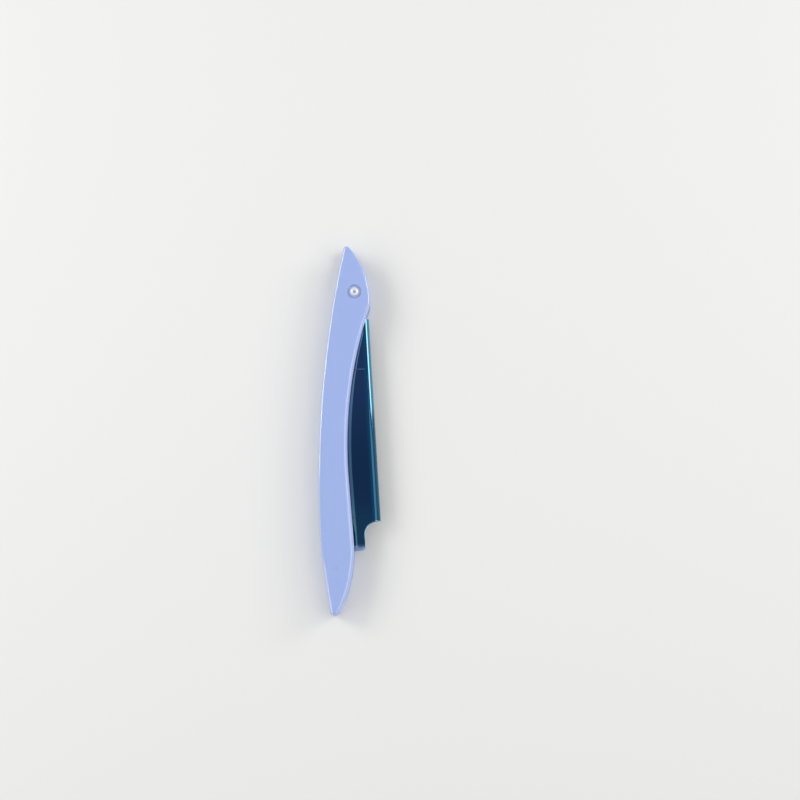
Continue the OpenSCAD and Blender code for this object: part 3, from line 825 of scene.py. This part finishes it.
# Folded sheet carrier, in millimetres across and along from the pivot
carrier = {
    "sheet": 0.5, "spine": 2.2, "spineAt": 2.5, "mouth": 7.35, "halfGap": 0.145, "spineSteps": 96,
    "bow": math.radians(3.7), "bowSteps": 12,
    "start": 10, "heelEnd": 25.5, "heelReach": 4, "toe": 95.8, "toeRadius": 0.8, "toeCorner": 1.1,
    "notch": 4.9, "outside": 8,
    "creaseWidth": 0.4, "creaseDepth": 0.15, "endCreaseDepth": 0.06, "creaseClear": 0.4,
    "weldAt": (-0.65, -64.6), "weld": 1.2, "weldDepth": 0.03,
    "coin": 2.4, "coinDepth": 0.3, "coinSteps": 6,
    "edge": 0.06, "sharpAngle": 45, "smoothAngle": 20,
}
carrierBore = carrier["spine"] - carrier["sheet"]
sectionWidth = carrier["spineAt"] + carrier["mouth"]
leafAngle = (math.asin(carrierBore / math.hypot(carrier["halfGap"], sectionWidth))
             - math.atan(carrier["halfGap"] / sectionWidth))


# Height of a leaf's face over the middle plane, for a fold of that radius
def leafHeight(radius, across):
    return (radius - (carrier["spineAt"] - across) * math.sin(leafAngle)) / math.cos(leafAngle)


def onOuterFace(vertex):
    return abs(vertex.co.z) > leafHeight(carrier["spine"], vertex.co.x) - near


# Draws one side of the folded section, from the mouth over the spine and back, with the leaves flat or bowed
def foldPath(bm, radius, across, bow=0.0):
    c = carrier
    turned = leafAngle - bow
    first = vertex = bm.verts.new((-across, 0, leafHeight(radius, -across)))
    start = vertex.co.copy()
    end = Vector((c["spineAt"] - radius * math.sin(turned), 0, radius * math.cos(turned)))
    if bow:
        chord = end - start
        sagging = chord.length / 2 / math.tan(bow)
        middle = (start + end) / 2 - Vector((-chord.z, 0, chord.x)).normalized() * sagging
        vertex = arcTo(bm, vertex, middle, 2 * bow, c["bowSteps"], yAxis)
    else:
        vertex = lineTo(bm, vertex, *end)
    vertex = arcTo(bm, vertex, (c["spineAt"], 0, 0), math.pi + 2 * turned, c["spineSteps"], yAxis)
    if bow:
        vertex = arcTo(bm, vertex, (middle.x, 0, -middle.z), 2 * bow, c["bowSteps"], yAxis)
    else:
        vertex = lineTo(bm, vertex, start.x, 0, -start.z)
    return first, vertex


# The folded sheet before it is cut to its outline, pressed and coined
def foldedSheet():
    c = carrier
    bm = bmesh.new()
    first, last = foldPath(bm, c["spine"], c["mouth"], c["bow"])
    innerFirst, innerLast = foldPath(bm, carrierBore, c["mouth"], c["bow"])
    bm.edges.new((first, innerFirst))
    closedSolid(bm, last, innerLast, -yAxis, c["start"], c["toe"])
    # Creases pressed across the leaves, where the tang and the stop end
    for along, depth in ((tang["end"], c["creaseDepth"]), (stop["to"], c["endCreaseDepth"])):
        for offset in (-0.5, 0, 0.5):
            slicePiece(bm, (0, -along + offset * c["creaseWidth"], 0), yAxis)
        for vertex in bm.verts:
            if (abs(vertex.co.y + along) < near and vertex.co.x < c["spineAt"] - c["creaseClear"]
                    and onOuterFace(vertex)):
                vertex.co.z -= math.copysign(depth, vertex.co.z)
    # Outer faces coined thinner towards the toe
    for step in range(c["coinSteps"]):
        slicePiece(bm, (0, -c["toe"] + c["coin"] * (1 - step / c["coinSteps"]), 0), yAxis)
    for vertex in bm.verts:
        out = (c["coin"] - c["toe"] - vertex.co.y) / c["coin"]
        if out > 0 and onOuterFace(vertex) and vertex.co.x < 0:
            vertex.co.z -= math.copysign(c["coinDepth"] * out ** 2, vertex.co.z)
    return bm


# Side outline with the heel's cut, the finger notch and the toe, right through the fold
def carrierOutline():
    c = carrier
    bm = bmesh.new()
    first = bm.verts.new((-c["heelReach"], -c["start"] + over, 0))
    notch = Vector(notchCentre)
    angle = math.acos((c["outside"] - notch.x) / c["notch"])
    vertex = linesTo(bm, first, [(c["outside"], -c["start"] + over), notch + polar(c["notch"], angle)])
    vertex = arcTo(bm, vertex, notch, math.pi - angle, steps=64)
    vertex = lineTo(bm, vertex, vertex.co.x, -c["toe"] + c["toeCorner"])
    vertex = arcTo(bm, vertex, (vertex.co.x - c["toeCorner"], vertex.co.y, 0), -math.pi / 2, steps=8)
    vertex = lineTo(bm, vertex, -c["mouth"] + c["toeRadius"], -c["toe"])
    vertex = arcTo(bm, vertex, (vertex.co.x, vertex.co.y + c["toeRadius"], 0), -math.pi / 2, steps=12)
    last = linesTo(bm, vertex, [(-c["mouth"] - over, vertex.co.y), (-c["mouth"] - over, -c["heelEnd"]),
                                (-c["mouth"], -c["heelEnd"]), (-c["heelReach"], -c["start"])])
    return closedSolid(bm, last, first, zAxis, -c["outside"], c["outside"])


def carrierShell():
    c = carrier
    shell = combine(toMesh(foldedSheet()), toMesh(carrierOutline()), "INTERSECT")
    # Spot weld that holds the stop strip, on both leaves
    across, along = c["weldAt"]
    share = (across + c["mouth"]) / sectionWidth
    raised = c["bow"] * sectionWidth * share * (1 - share)
    slope = leafAngle + c["bow"] * (1 - 2 * share)
    for side in (1, -1):
        bm = dishCutter(c["weld"], c["weldDepth"], 0, curve=1.5, steps=32)
        bmesh.ops.rotate(bm, cent=(0, 0, 0), matrix=Matrix.Rotation(-slope, 3, "Y"), verts=bm.verts)
        move(bm, (across, along, leafHeight(c["spine"], across) + raised))
        if side < 0:
            flip(bm)
        combine(shell, toMesh(bm))
    return finishPiece(shell, "carrierShell", carrierSpace, "blue_mirror_steel", "carrier", ["carrier_shell"],
                       c["edge"], c["sharpAngle"], c["smoothAngle"])


tang = {"thickness": 2.9, "end": 28.7, "fit": 0.02, "edge": 0.25, "drill": 4, "sharpAngle": 40}


# Bar with the pivot eye, and a root that fills the spine
def tangPiece():
    t, half, eye, start = tang, tang["thickness"] / 2, handle["eye"] / 2, carrier["start"]
    bm = bmesh.new()
    first = bm.verts.new((-eye, 0, 0))
    last = linesTo(bm, arcTo(bm, first, (0, 0, 0), -math.pi, steps=48), [(eye, -start), (-eye, -start)])
    closedSolid(bm, last, first, zAxis, -half, half)
    bevel(bm, [e for e in bm.edges if all(abs(abs(v.co.z) - half) < near for v in e.verts)
               and any(v.co.y > -start + near for v in e.verts)], t["edge"], segments=3)
    bar = toMesh(bm)
    bm = bmesh.new()
    first, last = foldPath(bm, carrierBore - t["fit"], eye)
    closedSolid(bm, first, last, -yAxis, start, t["end"])
    for side in (1, -1):  # clipped to the bar's thickness
        slicePiece(bm, zAxis * half * side, zAxis * side, clear=True)
        bmesh.ops.holes_fill(bm, edges=[e for e in bm.edges if e.is_boundary], sides=0)
    bmesh.ops.recalc_face_normals(bm, faces=bm.faces)
    combine(bar, toMesh(bm), "UNION")
    bore, reach = handle["bore"] / 2, t["drill"]
    combine(bar, toMesh(turnedRing([(0, -reach, 0), (bore, -reach, 0), (bore, reach, 0), (0, reach, 0)])))
    return finishPiece(bar, "tang", carrierSpace, "bar_steel", "carrier", ["tang"], 0, t["sharpAngle"])


stop = {"from": 30.7, "to": 83.49, "left": -1.65, "right": 0.35, "edge": 0.15, "sharpAngle": 40}


# Strip between the leaves, behind the blade
def bladeStop():
    s, radius = stop, carrierBore - tang["fit"]
    bm = drawnBar([(x, side * leafHeight(radius, x)) for side, x in
                   ((1, s["left"]), (1, s["right"]), (-1, s["right"]), (-1, s["left"]))], s["from"], s["to"])
    return finishPiece(toMesh(bm), "bladeStop", carrierSpace, "bar_steel", "carrier", ["blade_stop"],
                       s["edge"], s["sharpAngle"])


blade = {"from": 33.3, "to": 95.3, "edge": -8.75, "back": -1.75, "thickness": 0.25, "bevel": 0.9,
         "hone": 0.16, "honeThickness": 0.075, "edgeThickness": 0.02, "corner": 0.5, "sharpAngle": 3}


# Strip blade: flat, ground bevels, and the finer honed bevels at the edge
def bladePiece():
    b = blade
    half = [(b["edge"], b["edgeThickness"] / 2), (b["edge"] + b["hone"], b["honeThickness"] / 2),
            (b["edge"] + b["bevel"], b["thickness"] / 2), (b["back"], b["thickness"] / 2)]
    bm = drawnBar(half + [(x, -z) for x, z in reversed(half)], b["from"], b["to"])
    bevel(bm, [e for e in bm.edges if all(abs(v.co.x - b["back"]) < near for v in e.verts)
               and abs(e.verts[0].co.z - e.verts[1].co.z) > near], b["corner"], segments=4)
    return finishPiece(toMesh(bm), "blade", carrierSpace, "blade_steel", "blade", ["blade"],
                       0, b["sharpAngle"])


carrierShell()
tangPiece()
bladeStop()
bladePiece()
print("carrier, tang, stop and blade made")

# Camera a little below the razor's middle, tilted up to it
view = {"aim": (18.511, 11.161, 5.5), "distance": 600, "tilt": 7.6,  # mm and degrees
        "lens": 72.66, "sensor": 36, "clip": (0.01, 20)}
camera = bpy.data.objects.new("camera", bpy.data.cameras.new("camera"))
tilt = math.radians(view["tilt"])
camera.location = (Vector(view["aim"]) - Vector((0, math.sin(tilt), -math.cos(tilt))) * view["distance"]) * mm
camera.rotation_euler = (tilt, 0, 0)
camera.data.lens, camera.data.sensor_width = view["lens"], view["sensor"]
camera.data.clip_start, camera.data.clip_end = view["clip"]
bpy.context.scene.collection.objects.link(camera)
bpy.context.scene.camera = camera

# Plain pale painted board under the rear shell, just clear of it
board = {"size": 6.0, "drop": 0.00002, "colour": "#e6e6e4", "roughness": 0.7}  # m
bm = bmesh.new()
bmesh.ops.create_grid(bm, x_segments=1, y_segments=1, size=board["size"] / 2)
floor = toMesh(move(bm, (0, 0, -board["drop"])), "floor")
paint = {"Base Color": toLinear(board["colour"]), "Roughness": board["roughness"]}
floor.data.materials.append(finishMaterial(newMaterial("paintedBoard"), paint, {}))
floor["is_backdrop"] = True

# Soft boxes, two on each side, given in degrees from the vertical and by what they cover along the razor.
# The upper ones draw the bright lines on the back edge and the spine, the lower ones those nearer the nose
lamps = {
    "left": {"lean": -50, "distance": 750, "across": 380, "along": (45, 420), "radiance": 4.6},
    "lowLeft": {"lean": -50, "distance": 750, "across": 380, "along": (-420, -115), "radiance": 1.8},
    "right": {"lean": 60, "distance": 750, "across": 300, "along": (135, 480), "radiance": 4.8},
    "lowRight": {"lean": 32, "distance": 750, "across": 500, "along": (-290, 120), "radiance": 1.6},
}
lampsAim = (0, 0, 10)
for name, lamp in lamps.items():
    data = bpy.data.lights.new(name, "AREA")
    data.shape = "RECTANGLE"
    data.size, data.size_y = lamp["across"] * mm, (lamp["along"][1] - lamp["along"][0]) * mm
    data.energy = lamp["radiance"] * math.pi * data.size * data.size_y
    lean = math.radians(lamp["lean"])
    light = bpy.data.objects.new(name, data)
    light.location = Vector(lampsAim) * mm + Vector((
        math.sin(lean) * lamp["distance"], sum(lamp["along"]) / 2, math.cos(lean) * lamp["distance"])) * mm
    light.rotation_euler = (0, lean, 0)
    bpy.context.scene.collection.objects.link(light)

# The room: an even neutral light, and for mirrored rays a pale wall under the dim blue-grey ceiling
# that makes the polished steel dark
room = {"light": "#cbcbcb", "wall": "#f4f4f4", "ceiling": "#596e9a", "wallTop": 0.2, "ceilingFrom": 0.88}
world = bpy.data.worlds.new("room")
bpy.context.scene.world = world
world.use_nodes = True
direction = addNode(world, "ShaderNodeTexCoord")
parts = addNode(world, "ShaderNodeSeparateXYZ", {}, {}, {"Vector": direction.outputs["Generated"]})
rise = addNode(world, "ShaderNodeMapRange", {},
               {"From Min": room["wallTop"], "From Max": room["ceilingFrom"]}, {"Value": parts.outputs["Z"]})
seen = addNode(world, "ShaderNodeMix", {"data_type": "RGBA"},
               {6: toLinear(room["wall"]), 7: toLinear(room["ceiling"])}, {0: rise.outputs["Result"]})
rays = addNode(world, "ShaderNodeLightPath")
mirrored = addNode(world, "ShaderNodeMix", {"data_type": "RGBA"}, {6: toLinear(room["light"])},
                   {0: rays.outputs["Is Glossy Ray"], 7: seen.outputs[2]})
world.node_tree.links.new(mirrored.outputs[2], world.node_tree.nodes["Background"].inputs["Color"])
bpy.context.scene.view_settings.view_transform = "Standard"
print("camera, floor and lamps made")

low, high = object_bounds()
